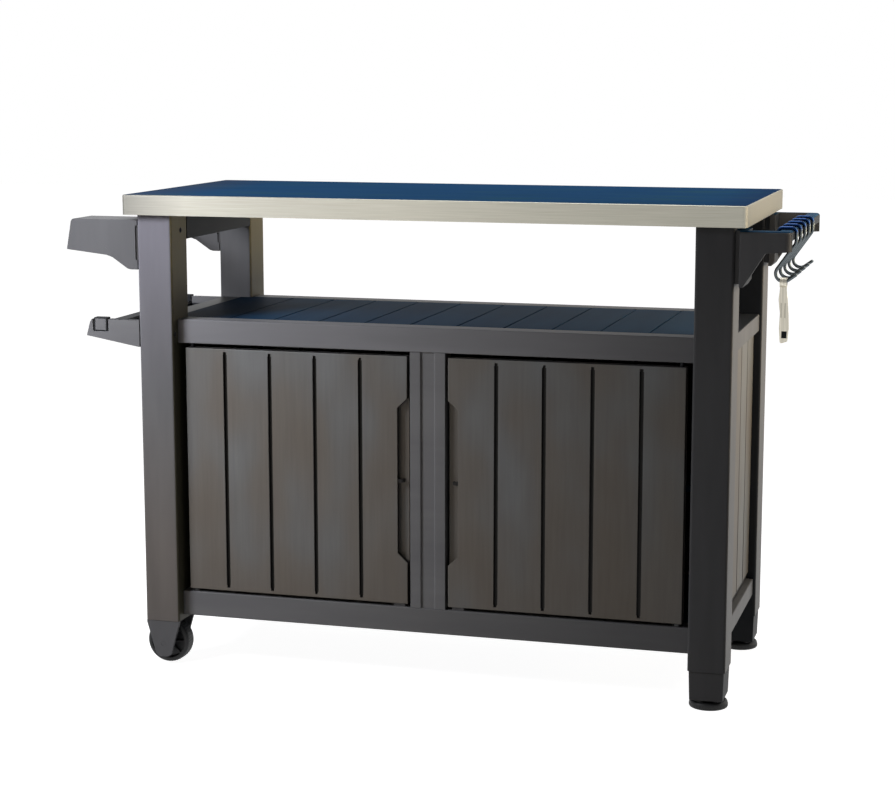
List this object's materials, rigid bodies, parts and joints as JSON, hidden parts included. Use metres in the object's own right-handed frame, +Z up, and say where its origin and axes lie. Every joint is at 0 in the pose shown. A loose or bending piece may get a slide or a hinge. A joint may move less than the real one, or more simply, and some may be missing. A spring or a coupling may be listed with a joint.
{
  "type": "grill cart with storage",
  "caption": "Outdoor grill cart: steel-topped worktop over an open shelf and a two-door cabinet, with wheels, levelling feet, a towel rod, a rack and a hook rail.",
  "frame": {"origin": "on the floor, under the middle of the whole length and depth", "axes": "+X to the user's right along the worktop, +Y from the doors to the rear wall, +Z up"},
  "size_m": [1.3602, 0.51, 0.9],
  "materials": {
    "stainless_top": "brushed, with a blue film on the upper face",
    "resin_frame": "moulded graphite resin",
    "resin_planks": "moulded resin with a faint wood grain",
    "resin_boards": "moulded resin, satin",
    "core_plastic": "moulded resin, plain",
    "black_plastic": "moulded, satin",
    "rod_plastic": "smooth",
    "hook_steel": "polished wire",
    "opener_steel": "satin",
    "zinc_steel": "zinc plated",
    "magnet": "bare"
  },
  "bodies": {
    "cart": {"worktop_sheet": "stainless_top", "worktop_core": "core_plastic", "leg_front_left": "resin_frame", "leg_front_right": "resin_frame", "leg_rear_left": "resin_frame", "leg_rear_right": "resin_frame", "upper_front_rail": "resin_frame", "lower_front_rail": "resin_frame", "upper_rear_rail": "resin_frame", "lower_rear_rail": "resin_frame", "side_apron_left": "resin_frame", "side_apron_right": "resin_frame", "upper_side_rail_left": "resin_frame", "upper_side_rail_right": "resin_frame", "lower_side_rail_left": "resin_frame", "lower_side_rail_right": "resin_frame", "side_panel_left": "resin_planks", "side_panel_right": "resin_planks", "back_panel_left": "resin_planks", "back_panel_right": "resin_planks", "inner_shelf_left": "resin_boards", "inner_shelf_right": "resin_boards", "open_shelf": "resin_boards", "cabinet_base": "resin_boards", "centre_post": "resin_frame", "middle_board": "resin_boards", "rear_joint_strip": "resin_frame", "shelf_pins": "zinc_steel", "hinge_pins": "zinc_steel", "hinge_bushes": "black_plastic", "catch_magnets": "magnet", "wheel_fork_front": "resin_frame", "wheel_fork_rear": "resin_frame", "foot_block_front": "resin_frame", "foot_block_rear": "resin_frame", "wheel_axles": "zinc_steel", "towel_arm_front": "resin_frame", "towel_arm_rear": "resin_frame", "rack_plate_front": "resin_frame", "rack_plate_rear": "resin_frame", "rack_rail": "resin_frame", "rack_tray": "resin_frame", "hook_rail": "resin_frame", "arm_screws": "zinc_steel"},
    "left_door": {"door_left": "resin_planks", "strike_plate_left": "zinc_steel"},
    "right_door": {"door_right": "resin_planks", "strike_plate_right": "zinc_steel"},
    "front_wheel": {"wheel_front": "black_plastic"},
    "rear_wheel": {"wheel_rear": "black_plastic"},
    "front_foot": {"levelling_foot_front": "black_plastic"},
    "rear_foot": {"levelling_foot_rear": "black_plastic"},
    "rod": {"towel_rod": "rod_plastic"},
    "hook_1": {"s_hook_1": "hook_steel"},
    "hook_2": {"s_hook_2": "hook_steel"},
    "hook_3": {"s_hook_3": "hook_steel"},
    "hook_4": {"s_hook_4": "hook_steel"},
    "hook_5": {"s_hook_5": "hook_steel"},
    "opener": {"bottle_opener": "opener_steel"}
  },
  "joints": [
    {"name": "left_door_hinge", "type": "hinge", "parent": "cart", "child": "left_door", "pos_m": [-0.44306, -0.204, 0.382], "axis": [0, 0, -1], "range_deg": [0, 100]},
    {"name": "right_door_hinge", "type": "hinge", "parent": "cart", "child": "right_door", "pos_m": [0.48294, -0.204, 0.382], "axis": [0, 0, 1], "range_deg": [0, 100]},
    {"name": "front_wheel_spin", "type": "hinge", "parent": "cart", "child": "front_wheel", "pos_m": [-0.50156, -0.2, 0.0425], "axis": [0, 1, 0], "continuous": true},
    {"name": "rear_wheel_spin", "type": "hinge", "parent": "cart", "child": "rear_wheel", "pos_m": [-0.50156, 0.2, 0.0425], "axis": [0, 1, 0], "continuous": true},
    {"name": "front_foot_screw", "type": "slide", "parent": "cart", "child": "front_foot", "axis": [0, 0, -1], "range_m": [0, 0.012]},
    {"name": "rear_foot_screw", "type": "slide", "parent": "cart", "child": "rear_foot", "axis": [0, 0, -1], "range_m": [0, 0.012]},
    {"name": "rod_spin", "type": "hinge", "parent": "cart", "child": "rod", "pos_m": [-0.62006, 0, 0.8], "axis": [0, 1, 0], "continuous": true},
    {"name": "hook_1_slide", "type": "slide", "parent": "cart", "child": "hook_1", "axis": [0, 1, 0], "range_m": [-0.02, 0.02]},
    {"name": "hook_2_slide", "type": "slide", "parent": "cart", "child": "hook_2", "axis": [0, 1, 0], "range_m": [-0.02, 0.02]},
    {"name": "hook_3_slide", "type": "slide", "parent": "cart", "child": "hook_3", "axis": [0, 1, 0], "range_m": [-0.02, 0.02]},
    {"name": "hook_4_slide", "type": "slide", "parent": "cart", "child": "hook_4", "axis": [0, 1, 0], "range_m": [-0.02, 0.02]},
    {"name": "hook_5_slide", "type": "slide", "parent": "cart", "child": "hook_5", "axis": [0, 1, 0], "range_m": [-0.02, 0.14]},
    {"name": "opener_swing", "type": "hinge", "parent": "hook_1", "child": "opener", "pos_m": [0.6555, -0.197, 0.76658], "axis": [1, 0, 0], "range_deg": [-45, 45]}
  ]
}
